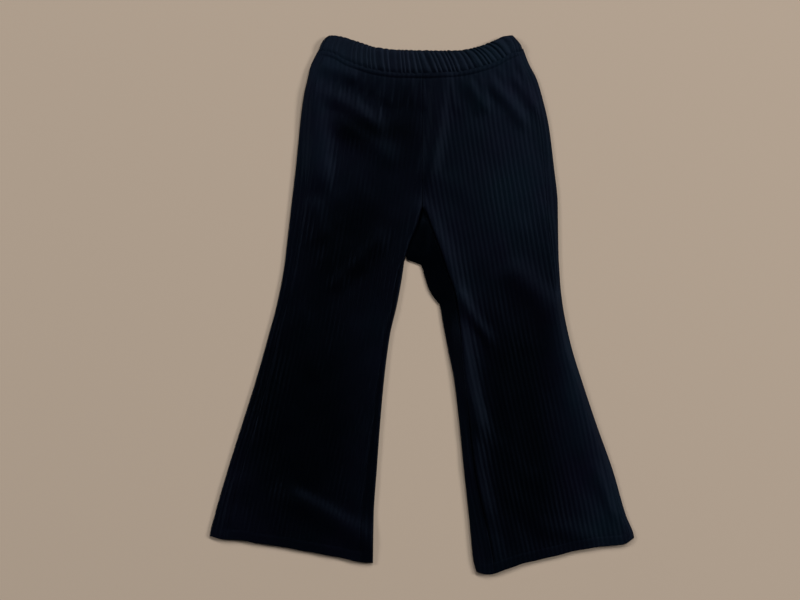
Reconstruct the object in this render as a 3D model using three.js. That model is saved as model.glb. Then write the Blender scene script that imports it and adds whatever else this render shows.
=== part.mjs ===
// A toddler's pull-on flared trousers in rib knit, laid flat on a surface with the front up.
// Millimetres. +X is to the right as seen from above, +Y towards the waist, +Z up from the surface.
// The origin is on the surface, under the middle of the garment.
// Two back panels lie on the surface, turn up round both edges of each leg and meet the front panels on top.
// "right" and "left" are the wearer's, so the right leg lies on the -X side.

import * as THREE from "three";
import { mergeVertices } from "three/addons/utils/BufferGeometryUtils.js";

// Cloth and seams
const CLOTH = 1.4;
const RIB_PITCH = 5;
const RIB_HEIGHT = 0.45;
const SEAM_GAP = 0.3;
const SEAM_DIP = 0.35;

// Height of the upper layer's underside above the surface
const UNDER_REST = 2.5;
const UNDER_LEAST = 1.7;
const UNDER_MOST = 5.3;
const EDGE_RISE = 0.4;

// Waist
const WAIST_LEVEL = 243;
const WAIST_EASE_LEVEL = 150;
const JOIN_BAND = 5;
const STITCH_GROOVE = 1.5;
const DOUBLED = 0.35;
const CASING_DEPTH = 23;
const CASING_WALL = 3;
const CASING_AIR = 0.4;
const GATHERS = 36;
const GATHER_HEIGHT = 0.5;

// Hem
const HEM_DEPTH = 11;
const HEM_EASE_LEVEL = -150;
const STITCH_DIP = 0.3;
const STITCHED_RIB = 0.4;

// How finely the walls are divided. A rib has a crest and a valley, so its points are half a pitch apart.
const HALF_RIB = RIB_PITCH / 2;
const FIRST_RIB_AT = -30;
const LAST_RIB_AT = 140;
const RIB_SNAP = 0.9;
const LINING_STEP = 3;
const FLAP_LINING_STEPS = 2;
const FLOOR_STEPS = 8;
const FOLD_STEPS = 3;
const CASING_TURN_STEPS = 4;
const CASING_BACK_STEPS = 16;
const SOLVER_ROUNDS = 8;

// Heights of the cross rows between the waist band and the hem
const HIP_ROWS = [231, 222, 213, 204, 195, 186, 176, 165, 152, 137, 120];
const CROTCH_ROWS = [105, 95, 83, 66, 49, 43, 31, 16, 0];
const LEG_ROWS = [-22, -46, -72, -100, -130, -158, -182, -204, -224, -243];

// The lower edge of the waist casing, all along the front
const CASING_FOOT = [
  { x: -108, y: 268 },
  { x: -94, y: 264.5 },
  { x: -80, y: 256.5 },
  { x: -65, y: 251 },
  { x: -47, y: 246 },
  { x: -22, y: 243.2 },
  { x: 6, y: WAIST_LEVEL },
  { x: 28, y: 243.8 },
  { x: 45, y: 245.8 },
  { x: 62, y: 249.8 },
  { x: 79, y: 255.6 },
  { x: 90, y: 262 },
  { x: 105, y: 268.5 },
];

// The folded upper edge of the casing
const CASING_HEAD = [
  { x: -102, y: 281 },
  { x: -94, y: 282.4 },
  { x: -84, y: 281 },
  { x: -65, y: 275 },
  { x: -46, y: 269.4 },
  { x: -22, y: 267.2 },
  { x: 20, y: 266.4 },
  { x: 40, y: 266.8 },
  { x: 55, y: 269.6 },
  { x: 74, y: 276.2 },
  { x: 86, y: 281.6 },
  { x: 94, y: 282.4 },
  { x: 100, y: 279 },
];

// Half width of the casing from its foot (0) to its head (1)
const CASING_SIDE = [
  { up: 0, right: 108.5, left: 105.5 },
  { up: 0.5, right: 106, left: 104 },
  { up: 0.85, right: 102.6, left: 100.4 },
  { up: 1, right: 99.5, left: 96.5 },
];

// The casing's cross-section, in half walls out from its middle line
const CASING_PROFILE = [
  { up: 0, out: 0.55 },
  { up: 0.14, out: 0.95 },
  { up: 0.5, out: 1.05 },
  { up: 0.86, out: 0.95 },
  { up: 1, out: 0.35 },
  { up: 1, out: -0.35 },
  { up: 0.5, out: -1 },
  { up: 0, out: -0.55 },
];

// How far the gathers slant across the casing, per millimetre of its height
const GATHER_SLANT = [
  { x: -108, slant: 0 },
  { x: -30, slant: -0.05 },
  { x: 10, slant: -0.2 },
  { x: 50, slant: -0.42 },
  { x: 85, slant: -0.5 },
  { x: 106, slant: 0 },
];

// How far a rib has moved outwards at each height, from where it starts at the waist
const RIB_LEAN = [
  { y: -285, shift: 96 },
  { y: -157, shift: 69.5 },
  { y: -115, shift: 60.5 },
  { y: -42, shift: 45 },
  { y: 21, shift: 33.5 },
  { y: 84, shift: 23 },
  { y: 147, shift: 12.5 },
  { y: 200, shift: 5 },
  { y: 243, shift: 0 },
  { y: 270, shift: -2 },
];

// Each leg's outline and seams as distances outwards from the middle of the garment.
// edgeOut and edgeIn are the folded edges, seamOut and seamIn the side seam and inseam on top.
const RIGHT_LEG = {
  side: -1,
  hemLevel: -270,
  crotchLevel: 49,
  lines: [
    { y: -280, edgeOut: 223.6, seamOut: 206, seamIn: 66, edgeIn: 51.5 },
    { y: -243, edgeOut: 222.5, seamOut: 205, seamIn: 65, edgeIn: 51 },
    { y: -220, edgeOut: 217.3, seamOut: 201, seamIn: 64, edgeIn: 50.6 },
    { y: -173, edgeOut: 203.7, seamOut: 189, seamIn: 59, edgeIn: 47.4 },
    { y: -126, edgeOut: 189, seamOut: 175, seamIn: 53, edgeIn: 44 },
    { y: -79, edgeOut: 174.2, seamOut: 162, seamIn: 46.5, edgeIn: 39.8 },
    { y: -31, edgeOut: 160.6, seamOut: 150.5, seamIn: 39.6, edgeIn: 33.5 },
    { y: 0, edgeOut: 152.3, seamOut: 142, seamIn: 32.4, edgeIn: 26.3 },
    { y: 31, edgeOut: 146, seamOut: 135, seamIn: 26, edgeIn: 20.6 },
    { y: 49, edgeOut: 143.4, seamOut: 131.5, seamIn: 18, edgeIn: 18 },
    { y: 62, edgeOut: 142, seamOut: 129.5, seamIn: 14, edgeIn: 14 },
    { y: 83, edgeOut: 139.5, seamOut: 126, seamIn: 5.4, edgeIn: 5.4 },
    { y: 95, edgeOut: 138.2, seamOut: 124.4, seamIn: 2, edgeIn: 2 },
    { y: 105, edgeOut: 137, seamOut: 123, seamIn: 0, edgeIn: 0 },
    { y: 148, edgeOut: 132, seamOut: 119, seamIn: 0, edgeIn: 0 },
    { y: 189, edgeOut: 128, seamOut: 116.5, seamIn: 0, edgeIn: 0 },
    { y: 220, edgeOut: 124, seamOut: 114, seamIn: 0, edgeIn: 0 },
    { y: 238, edgeOut: 119.8, seamOut: 110.5, seamIn: 0, edgeIn: 0 },
    { y: 247, edgeOut: 118, seamOut: 109.3, seamIn: 0, edgeIn: 0 },
    { y: 257, edgeOut: 114, seamOut: 105, seamIn: 0, edgeIn: 0 },
    { y: 268, edgeOut: 108.2, seamOut: 98, seamIn: 0, edgeIn: 0 },
  ],
  hem: [
    { across: 0, rise: 0 },
    { across: 0.06, rise: 0.4 },
    { across: 0.21, rise: 5.4 },
    { across: 0.46, rise: 13.8 },
    { across: 0.7, rise: 20 },
    { across: 0.82, rise: 24 },
    { across: 0.93, rise: 24.6 },
    { across: 1, rise: 27.4 },
  ],
};

const LEFT_LEG = {
  side: 1,
  hemLevel: -283,
  crotchLevel: 105,
  lines: [
    { y: -284, edgeOut: 223.6, seamOut: 217.9, seamIn: 75, edgeIn: 58.5 },
    { y: -268, edgeOut: 223.6, seamOut: 217.9, seamIn: 74, edgeIn: 53.8 },
    { y: -244, edgeOut: 222.6, seamOut: 216.9, seamIn: 70, edgeIn: 51.2 },
    { y: -220, edgeOut: 213.8, seamOut: 208.4, seamIn: 64.5, edgeIn: 49 },
    { y: -173, edgeOut: 200.1, seamOut: 194.9, seamIn: 55, edgeIn: 43.8 },
    { y: -126, edgeOut: 183.3, seamOut: 178.1, seamIn: 49.5, edgeIn: 39.2 },
    { y: -79, edgeOut: 167.6, seamOut: 161.6, seamIn: 44.6, edgeIn: 33.6 },
    { y: -47, edgeOut: 157.6, seamOut: 150.4, seamIn: 41.5, edgeIn: 27.3 },
    { y: -16, edgeOut: 150.4, seamOut: 144.2, seamIn: 38.5, edgeIn: 21.4 },
    { y: 0, edgeOut: 147.6, seamOut: 141.8, seamIn: 36.4, edgeIn: 18.6 },
    { y: 6, edgeOut: 146.8, seamOut: 141.2, seamIn: 35.4, edgeIn: 13.6 },
    { y: 16, edgeOut: 145.6, seamOut: 140, seamIn: 33, edgeIn: 7.4 },
    { y: 31, edgeOut: 144.5, seamOut: 138.4, seamIn: 27.4, edgeIn: 2.4 },
    { y: 43, edgeOut: 143.8, seamOut: 137.4, seamIn: 23.4, edgeIn: -1.6 },
    { y: 49, edgeOut: 143.4, seamOut: 136.8, seamIn: 21.4, edgeIn: -18 },
    { y: 62, edgeOut: 143.1, seamOut: 135.4, seamIn: 16.8, edgeIn: -14 },
    { y: 83, edgeOut: 142.8, seamOut: 132.8, seamIn: 8.8, edgeIn: -5.4 },
    { y: 95, edgeOut: 142.6, seamOut: 131.4, seamIn: 4.6, edgeIn: -2 },
    { y: 105, edgeOut: 142.5, seamOut: 130.6, seamIn: 0, edgeIn: 0 },
    { y: 148, edgeOut: 138.1, seamOut: 127.4, seamIn: 0, edgeIn: 0 },
    { y: 189, edgeOut: 132.9, seamOut: 122.9, seamIn: 0, edgeIn: 0 },
    { y: 220, edgeOut: 125.6, seamOut: 116.4, seamIn: 0, edgeIn: 0 },
    { y: 238, edgeOut: 120, seamOut: 111.4, seamIn: 0, edgeIn: 0 },
    { y: 252, edgeOut: 112.6, seamOut: 103.9, seamIn: 0, edgeIn: 0 },
    { y: 269, edgeOut: 106, seamOut: 96.9, seamIn: 0, edgeIn: 0 },
  ],
  hem: [
    { across: 0, rise: 3 },
    { across: 0.08, rise: 0.6 },
    { across: 0.2, rise: 6.2 },
    { across: 0.33, rise: 13.4 },
    { across: 0.52, rise: 20.4 },
    { across: 0.71, rise: 27.8 },
    { across: 0.84, rise: 31 },
    { across: 0.92, rise: 31.4 },
    { across: 1, rise: 38.6 },
  ],
};

// Ridges (height above 0) and troughs (below 0) of the upper layer, each from one end to the other.
// bow is how far the middle of the fold stands off the straight line, to its left.
const FOLDS = [
  { x0: -98, y0: 234, x1: -18, y1: 171, bow: 3, width: 6, height: 2.6 },
  { x0: -90, y0: 221, x1: -14, y1: 160, bow: 2, width: 5, height: -1.8 },
  { x0: -78, y0: 206, x1: -10, y1: 142, bow: 3, width: 9, height: 1.2 },
  { x0: -98, y0: 248, x1: -70, y1: 236, bow: 0, width: 6, height: -1.2 },
  { x0: -29, y0: 229, x1: -23, y1: 184, bow: 1, width: 5, height: 1.4 },
  { x0: -14, y0: 228, x1: -11, y1: 140, bow: 0, width: 6, height: -1.1 },
  { x0: -112, y0: 206, x1: -91, y1: 106, bow: 3, width: 6, height: 1.9 },
  { x0: -106, y0: 216, x1: -84, y1: 196, bow: 0, width: 6, height: -1.2 },
  { x0: -84, y0: 96, x1: -104, y1: 42, bow: 2, width: 7, height: 1.1 },
  { x0: -50, y0: 68, x1: -98, y1: 20, bow: 2, width: 7, height: 1.5 },
  { x0: -58, y0: 44, x1: -116, y1: -16, bow: 0, width: 8, height: -1.3 },
  { x0: -148, y0: -172, x1: -54, y1: -238, bow: 3, width: 8, height: -1.3 },
  { x0: -146, y0: -190, x1: -56, y1: -256, bow: 3, width: 8, height: 2.1 },
  { x0: -196, y0: -170, x1: -206, y1: -238, bow: 0, width: 7, height: 1 },
  { x0: 29, y0: 234, x1: 7, y1: 146, bow: 6, width: 6, height: 2 },
  { x0: 8, y0: 226, x1: 6, y1: 152, bow: 2, width: 4, height: -1 },
  { x0: 8, y0: 150, x1: 26, y1: 84, bow: -3, width: 6, height: 1.3 },
  { x0: 52, y0: 238, x1: 82, y1: 180, bow: 2, width: 5, height: 1.5 },
  { x0: 66, y0: 238, x1: 92, y1: 190, bow: 2, width: 4, height: -1 },
  { x0: 78, y0: 246, x1: 116, y1: 192, bow: 3, width: 5, height: 2 },
  { x0: 96, y0: 246, x1: 126, y1: 184, bow: 3, width: 5, height: -0.8 },
  { x0: 120, y0: 196, x1: 128, y1: 92, bow: 3, width: 5, height: 1.4 },
  { x0: 4, y0: 106, x1: 44, y1: 10, bow: -4, width: 5, height: 2.1 },
  { x0: -10, y0: 44, x1: 2, y1: 108, bow: 0, width: 7, height: -1.6 },
  { x0: 42, y0: 14, x1: 72, y1: -44, bow: -3, width: 5, height: 1.6 },
  { x0: 44, y0: 0, x1: 66, y1: -48, bow: 0, width: 4, height: -1.1 },
  { x0: 38, y0: 4, x1: 68, y1: -124, bow: -5, width: 6, height: 1.9 },
  { x0: 60, y0: -126, x1: 46, y1: -146, bow: 0, width: 7, height: -0.8 },
  { x0: 50, y0: -136, x1: 78, y1: -262, bow: -3, width: 7, height: 1.9 },
  { x0: 84, y0: -128, x1: 96, y1: -246, bow: 0, width: 8, height: -0.9 },
  { x0: 84, y0: 54, x1: 128, y1: -10, bow: 0, width: 9, height: -0.9 },
  { x0: 138, y0: 0, x1: 208, y1: -232, bow: 4, width: 5, height: 1.2 },
  { x0: 170, y0: -186, x1: 186, y1: -228, bow: 0, width: 7, height: 0.8 },
];

// The share of a fold's length over which it rises from flat at each end
const FOLD_END = 0.25;

// The short puckers that fan out below the casing, each a little longer or shorter than the next
const PUCKERS = {
  count: 21,
  reach: 98,
  start: 4,
  length: 34,
  width: 2.6,
  height: 0.8,
  fan: 0.2,
  uneven: 0.4,
};

// Monotone cubic curve through the rows of a table, read from one column to another.
function tableCurve(rows, from, to) {
  const x = rows.map((row) => row[from]);
  const y = rows.map((row) => row[to]);
  const last = x.length - 1;
  const slope = x.slice(1).map((_, i) => (y[i + 1] - y[i]) / (x[i + 1] - x[i]));
  const tangent = x.map((_, i) => {
    if (i === 0) return slope[0];
    if (i === last) return slope[last - 1];
    const before = slope[i - 1];
    const after = slope[i];
    return before * after <= 0 ? 0 : (2 * before * after) / (before + after);
  });
  return (at) => {
    if (at <= x[0]) return y[0] + (at - x[0]) * tangent[0];
    if (at >= x[last]) return y[last] + (at - x[last]) * tangent[last];
    let i = 0;
    while (at > x[i + 1]) i += 1;
    const span = x[i + 1] - x[i];
    const t = (at - x[i]) / span;
    const rise = y[i + 1] - y[i];
    const bendStart = (tangent[i] * span - rise) * t * (1 - t) * (1 - t);
    const bendEnd = (rise - tangent[i + 1] * span) * t * t * (1 - t);
    return y[i] + rise * t + bendStart + bendEnd;
  };
}

function smoothStep(from, to, at) {
  const t = Math.min(1, Math.max(0, (at - from) / (to - from)));
  return t * t * (3 - 2 * t);
}

const casingFoot = tableCurve(CASING_FOOT, "x", "y");
const casingHead = tableCurve(CASING_HEAD, "x", "y");
const casingRight = tableCurve(CASING_SIDE, "up", "right");
const casingLeft = tableCurve(CASING_SIDE, "up", "left");
const gatherSlant = tableCurve(GATHER_SLANT, "x", "slant");
const ribLean = tableCurve(RIB_LEAN, "y", "shift");

// Height of one fold over the point (x, y): a bell across it, eased in at both ends.
function foldHeight(fold, x, y) {
  const dx = fold.x1 - fold.x0;
  const dy = fold.y1 - fold.y0;
  const length = Math.hypot(dx, dy);
  const along = ((x - fold.x0) * dx + (y - fold.y0) * dy) / (length * length);
  if (along <= 0 || along >= 1) return 0;
  const off = ((y - fold.y0) * dx - (x - fold.x0) * dy) / length - fold.bow * 4 * along * (1 - along);
  const ease = smoothStep(0, FOLD_END, along) * smoothStep(1, 1 - FOLD_END, along);
  return fold.height * ease * Math.exp(-((off / fold.width) ** 2));
}

const puckerFolds = Array.from({ length: PUCKERS.count }, (_, n) => {
  const x = PUCKERS.reach * ((2 * n) / (PUCKERS.count - 1) - 1);
  const size = 1 + PUCKERS.uneven * Math.sin(n * 2.4) * Math.cos(n * 1.1);
  const top = casingFoot(x) + PUCKERS.start;
  return {
    x0: x,
    y0: top,
    x1: x * (1 + PUCKERS.fan),
    y1: top - PUCKERS.length * size,
    bow: 0,
    width: PUCKERS.width,
    height: PUCKERS.height * size,
  };
});
const allFolds = [...FOLDS, ...puckerFolds];

// Height of the upper layer's underside, kept between its least and most without a hard corner.
function underside(x, y) {
  const sum = allFolds.reduce((total, fold) => total + foldHeight(fold, x, y), 0);
  const room = sum > 0 ? UNDER_MOST - UNDER_REST : UNDER_REST - UNDER_LEAST;
  return UNDER_REST + room * Math.tanh(sum / room);
}

// A leg's outline curves and the family of cross rows that follow the waist at the top and the hem below.
function layOutLeg(leg) {
  const line = (name) => tableCurve(leg.lines, "y", name);
  const edgeOut = line("edgeOut");
  const edgeIn = line("edgeIn");
  const seamOut = line("seamOut");
  const seamIn = line("seamIn");
  const hemRise = tableCurve(leg.hem, "across", "rise");
  const share = (out, y) => (out - edgeIn(y)) / (edgeOut(y) - edgeIn(y));
  const rowHeight = (level, out, y) => {
    const nearWaist = smoothStep(WAIST_EASE_LEVEL, WAIST_LEVEL, level);
    const nearHem = 1 - smoothStep(leg.hemLevel, HEM_EASE_LEVEL, level);
    return level + (casingFoot(leg.side * out) - WAIST_LEVEL) * nearWaist + hemRise(share(out, y)) * nearHem;
  };
  // The point of a row at the distance outwards that placeAt gives for a height
  const pointAt = (level, placeAt) => {
    let y = level;
    for (let round = 0; round < SOLVER_ROUNDS; round += 1) y = rowHeight(level, placeAt(y), y);
    return { out: placeAt(y), x: leg.side * placeAt(y), y };
  };
  return { ...leg, edgeOut, edgeIn, seamOut, seamIn, pointAt };
}

// Cross rows from the waist down: level, how far the outer face stands proud, and if it runs round the back
function rowsOf(leg) {
  const top = WAIST_LEVEL - SEAM_GAP;
  const bandSeam = top - JOIN_BAND;
  const hemSeam = leg.hemLevel + HEM_DEPTH;
  return [
    { level: top, proud: DOUBLED, back: true },
    { level: bandSeam + STITCH_GROOVE, proud: DOUBLED, back: false },
    { level: bandSeam, proud: -STITCH_DIP, back: true },
    ...[...HIP_ROWS, ...CROTCH_ROWS, ...LEG_ROWS].map((level) => ({ level, proud: 0, back: true })),
    { level: hemSeam + STITCH_GROOVE, proud: 0, back: true },
    { level: hemSeam, proud: -STITCH_DIP, back: false },
    { level: hemSeam - STITCH_GROOVE, proud: DOUBLED, back: true },
    { level: leg.hemLevel, proud: DOUBLED, back: true },
  ];
}

// A closed wall between an outer and an inner net of points. Each net is a list of rows from edge to edge,
// and each point carries its place along the row, so that rows of different counts can be joined at the ends.
function wallGeometry(outer, inner, side) {
  const triangles = [];
  const net = (rows, flip) => {
    for (let i = 0; i + 1 < rows.length; i += 1) {
      for (let j = 0; j + 1 < rows[i].length; j += 1) {
        const quad = [rows[i][j], rows[i][j + 1], rows[i + 1][j + 1], rows[i + 1][j]];
        // each quad is split along the way that the folds run, down and to the right
        const [a, b, c, d] = side > 0 ? quad : [quad[1], quad[2], quad[3], quad[0]];
        triangles.push(...(flip ? [[a, c, b], [a, d, c]] : [[a, b, c], [a, c, d]]));
      }
    }
  };
  const joinEnds = (first, second, flip) => {
    let i = 0;
    let j = 0;
    while (i + 1 < first.length || j + 1 < second.length) {
      const stepFirst = j + 1 === second.length
        || (i + 1 < first.length && first[i + 1].place <= second[j + 1].place);
      const corner = stepFirst ? first[i + 1] : second[j + 1];
      triangles.push(flip ? [first[i], corner, second[j]] : [first[i], second[j], corner]);
      if (stepFirst) i += 1;
      else j += 1;
    }
  };
  const joinSides = (a, b, flip) => net([a, b], flip);
  net(outer, false);
  net(inner, true);
  joinEnds(outer[0], inner[0], false);
  joinEnds(outer.at(-1), inner.at(-1), true);
  joinSides(outer.map((row) => row[0]), inner.map((row) => row[0]), false);
  joinSides(outer.map((row) => row.at(-1)), inner.map((row) => row.at(-1)), true);
  return closedGeometry(triangles);
}

// Merges shared points, drops triangles that have closed up, and turns the surface to face outwards.
function closedGeometry(triangles) {
  const numbers = triangles.flatMap((corners) => corners.flatMap((p) => [p.x, p.y, p.z]));
  const loose = new THREE.BufferGeometry();
  loose.setAttribute("position", new THREE.Float32BufferAttribute(numbers, 3));
  const merged = mergeVertices(loose, 1e-3);
  const position = merged.getAttribute("position");
  const index = merged.index.array;
  const kept = [];
  let volume = 0;
  const corner = [new THREE.Vector3(), new THREE.Vector3(), new THREE.Vector3()];
  for (let i = 0; i < index.length; i += 3) {
    const [a, b, c] = [index[i], index[i + 1], index[i + 2]];
    if (a === b || b === c || c === a) continue;
    kept.push(a, b, c);
    corner.forEach((v, n) => v.fromBufferAttribute(position, [a, b, c][n]));
    volume += corner[0].dot(corner[1].cross(corner[2])) / 6;
  }
  merged.setIndex(volume < 0 ? kept.reverse() : kept);
  merged.computeVertexNormals();
  return merged;
}

// A front panel: ribs run down it side by side and end at the seams, over a plain inside.
function frontPanel(leg) {
  const rows = rowsOf(leg);
  const inLine = (y) => leg.seamIn(y) + SEAM_GAP / 2;
  const outLine = (y) => leg.seamOut(y) - SEAM_GAP / 2;
  const firstRib = Math.floor(FIRST_RIB_AT / HALF_RIB);
  const lastRib = Math.ceil(LAST_RIB_AT / HALF_RIB);
  const netRow = (row, step, raised) => {
    const inner = leg.pointAt(row.level, inLine);
    const outer = leg.pointAt(row.level, outLine);
    const points = [];
    for (let rib = firstRib; rib <= lastRib; rib += step) {
      const along = leg.pointAt(row.level, (y) => rib * HALF_RIB + ribLean(y));
      const atInner = along.out < inner.out + RIB_SNAP;
      const atOuter = along.out > outer.out - RIB_SNAP;
      const place = atInner ? inner : atOuter ? outer : along;
      const ribHeight = row.proud < 0 ? RIB_HEIGHT * STITCHED_RIB : RIB_HEIGHT;
      const relief = atInner || atOuter ? -SEAM_DIP : ribHeight * (rib % 2 === 0 ? 1 : 0);
      const lift = raised ? CLOTH + relief + row.proud : 0;
      points.push({ ...place, z: underside(place.x, place.y) + lift, place: place.out });
    }
    return points;
  };
  const outerNet = rows.map((row) => netRow(row, 1, true));
  const innerNet = rows.map((row) => netRow(row, LINING_STEP, false));
  return wallGeometry(outerNet, innerNet, leg.side);
}

// A back panel: flat on the surface, turned up round the leg's edges, and over to the seams on top.
function backPanel(leg) {
  const rows = rowsOf(leg).filter((row) => row.back);
  const widest = (from, to) => Math.max(...rows.map((row) => from(row.level) - to(row.level)));
  const flapSteps = (from, to) => Math.ceil(widest(from, to) / HALF_RIB);
  const outSteps = flapSteps(leg.edgeOut, leg.seamOut);
  const inSteps = flapSteps(leg.seamIn, leg.edgeIn);

  // A point's place along the row is 0 to 1 on the outer flap, 1 to 2 round its fold, 2 to 3 on the floor
  // and 3 to 5 back up round the inner fold and along the inner flap.
  const FLOOR_STARTS = 2;
  const ROW_ENDS = 5;

  // One flap and its fold, from the seam on top to the cloth that lies flat. towards is +1 at the outer edge.
  const turnedEdge = (row, seam, edge, towards, steps, raised) => {
    const rim = leg.pointAt(row.level, edge);
    const rimUnder = underside(rim.x, rim.y) + EDGE_RISE;
    const radius = (rimUnder + CLOTH) / 2;
    const bend = raised ? radius : radius - CLOTH;
    const seamPoint = leg.pointAt(row.level, (y) => seam(y) + (towards * SEAM_GAP) / 2);
    // where the flap is narrower than its fold, the fold is squeezed so that it starts at the seam
    const reach = Math.min(radius, (rim.out - seamPoint.out) * towards);
    const centre = rim.out - towards * reach;
    const room = Math.max(0, (centre - seamPoint.out) * towards);
    const points = [];
    for (let n = 0; n < steps; n += 1) {
      const distance = Math.min(n * HALF_RIB, room);
      const spot = leg.pointAt(row.level, () => seamPoint.out + towards * distance);
      const blend = room > 0 ? distance / room : 1;
      const under = (1 - blend) * underside(spot.x, spot.y) + blend * rimUnder;
      const relief = n === 0 ? -SEAM_DIP : RIB_HEIGHT * (distance < room ? n % 2 : 0);
      const lift = raised ? CLOTH + relief + row.proud * (1 - blend) : 0;
      points.push({ ...spot, z: under + lift, place: n / steps });
    }
    for (let n = 0; n <= FOLD_STEPS; n += 1) {
      const angle = (Math.PI * n) / FOLD_STEPS;
      const spot = leg.pointAt(row.level, () => centre + (towards * reach * bend * Math.sin(angle)) / radius);
      points.push({ ...spot, z: radius + bend * Math.cos(angle), place: 1 + n / FOLD_STEPS });
    }
    return points;
  };

  const netRow = (row, raised) => {
    const height = raised ? 0 : CLOTH;
    const [stepsOut, stepsIn] = raised ? [outSteps, inSteps] : [FLAP_LINING_STEPS, FLAP_LINING_STEPS];
    const outerEdge = turnedEdge(row, leg.seamOut, leg.edgeOut, 1, stepsOut, raised);
    const folded = row.level < leg.crotchLevel;
    const middle = leg.pointAt(row.level, (y) => leg.edgeIn(y) + SEAM_GAP / 2);
    const innerEdge = turnedEdge(row, leg.seamIn, leg.edgeIn, -1, stepsIn, raised);
    // above the crotch the panel ends at the centre back, so its flap closes up into that cut edge
    const closed = (point, n) => ({
      ...middle,
      z: raised && n === innerEdge.length - 1 ? 0 : CLOTH,
      place: point.place,
    });
    const innerSide = folded ? innerEdge : innerEdge.map(closed);
    const start = outerEdge.at(-1).out;
    const end = innerSide.at(-1).out;
    const floor = [];
    for (let n = 1; n < FLOOR_STEPS; n += 1) {
      const spot = leg.pointAt(row.level, () => start + ((end - start) * n) / FLOOR_STEPS);
      floor.push({ ...spot, z: height, place: FLOOR_STARTS + n / FLOOR_STEPS });
    }
    const turnedBack = innerSide.map((point) => ({ ...point, place: ROW_ENDS - point.place })).reverse();
    return [...outerEdge, ...floor, ...turnedBack];
  };
  return wallGeometry(rows.map((row) => netRow(row, true)), rows.map((row) => netRow(row, false)), leg.side);
}

// The waist casing: a flattened ring of doubled cloth over elastic, gathered on the side that shows.
function waistCasing() {
  const half = CASING_WALL / 2;
  const middleZ = CASING_WALL + CASING_AIR / 2;
  const turn = half + CASING_AIR / 2;
  const frontSteps = GATHERS * 2;
  const stations = [];
  for (let n = 0; n <= frontSteps; n += 1) {
    stations.push({ across: -1 + (2 * n) / frontSteps, angle: 0, crest: n % 2 });
  }
  for (let n = 1; n < CASING_TURN_STEPS; n += 1) {
    stations.push({ across: 1, angle: (Math.PI * n) / CASING_TURN_STEPS, crest: 0 });
  }
  for (let n = 0; n <= CASING_BACK_STEPS; n += 1) {
    stations.push({ across: 1 - (2 * n) / CASING_BACK_STEPS, angle: Math.PI, crest: 0 });
  }
  for (let n = 1; n < CASING_TURN_STEPS; n += 1) {
    stations.push({ across: -1, angle: Math.PI + (Math.PI * n) / CASING_TURN_STEPS, crest: 0 });
  }

  const ring = stations.map(({ across, angle, crest }) => CASING_PROFILE.map(({ up, out }) => {
    const reach = (across < 0 ? casingRight(up) : casingLeft(up)) - middleZ;
    const straight = across * reach;
    const inset = 1 - Math.abs(across) ** 4;
    const swell = out > 0 && angle === 0 ? crest * GATHER_HEIGHT * inset : 0;
    const radius = turn + out * half + swell;
    const slant = gatherSlant(straight) * (up - 0.5) * CASING_DEPTH * inset;
    const x = straight + slant + Math.sign(across) * Math.abs(Math.sin(angle)) * radius;
    const foot = casingFoot(x);
    const y = foot + (casingHead(x) - foot) * up;
    // the underside of the ring is flat where it rests
    const z = angle === Math.PI && out > 0 ? 0 : middleZ + radius * Math.cos(angle);
    return { x, y, z };
  }));

  const triangles = [];
  ring.forEach((section, i) => {
    const next = ring[(i + 1) % ring.length];
    section.forEach((point, j) => {
      const k = (j + 1) % section.length;
      triangles.push([point, next[j], next[k]], [point, next[k], section[k]]);
    });
  });
  return closedGeometry(triangles);
}

const ribKnit = new THREE.MeshStandardMaterial({ color: 0x0e1219, roughness: 0.92, metalness: 0 });
const gatheredKnit = new THREE.MeshStandardMaterial({ color: 0x121821, roughness: 0.9, metalness: 0 });

function piece(name, geometry, material) {
  const mesh = new THREE.Mesh(geometry, material);
  mesh.name = name;
  return mesh;
}

const rightLeg = layOutLeg(RIGHT_LEG);
const leftLeg = layOutLeg(LEFT_LEG);
const trousers = new THREE.Group();
trousers.add(
  piece("back_right", backPanel(rightLeg), ribKnit),
  piece("back_left", backPanel(leftLeg), ribKnit),
  piece("front_right", frontPanel(rightLeg), ribKnit),
  piece("front_left", frontPanel(leftLeg), ribKnit),
  piece("waist_casing", waistCasing(), gatheredKnit),
);

export default trousers;
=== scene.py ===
"""Toddler's ribbed flared trousers, laid flat with the front up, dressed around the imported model.

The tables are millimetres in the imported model's frame: x to the right as seen from above, y towards
the waist and z up from the surface. Right and left are the wearer's, so the right leg is on the -X side.
"""

import math
from collections import namedtuple

import bmesh
import bpy
import numpy as np
from bpy.props import FloatProperty, FloatVectorProperty, IntProperty, PointerProperty
from mathutils import Matrix, Vector


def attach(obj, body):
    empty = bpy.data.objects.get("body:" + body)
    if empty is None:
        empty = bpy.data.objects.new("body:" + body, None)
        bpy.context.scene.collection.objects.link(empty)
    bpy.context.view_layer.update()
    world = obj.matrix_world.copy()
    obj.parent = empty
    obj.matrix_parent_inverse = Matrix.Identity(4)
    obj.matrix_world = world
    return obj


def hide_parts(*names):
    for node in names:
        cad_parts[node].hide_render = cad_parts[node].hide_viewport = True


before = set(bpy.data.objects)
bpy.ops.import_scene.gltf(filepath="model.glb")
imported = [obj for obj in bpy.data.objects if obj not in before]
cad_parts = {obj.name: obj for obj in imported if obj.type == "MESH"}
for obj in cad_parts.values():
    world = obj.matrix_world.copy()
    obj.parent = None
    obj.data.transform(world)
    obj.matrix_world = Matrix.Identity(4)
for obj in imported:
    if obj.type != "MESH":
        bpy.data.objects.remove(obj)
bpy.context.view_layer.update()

bl_info = {
    "name": "Ribbed Flared Trousers",
    "version": (1, 0, 0),
    "blender": (4, 5, 0),
    "location": "View3D > Sidebar > Trousers",
    "description": "Dresses a laid-out pair of toddler's ribbed flared trousers in cloth",
    "category": "Object",
}

MM = 0.001
BODY = "root"

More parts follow.
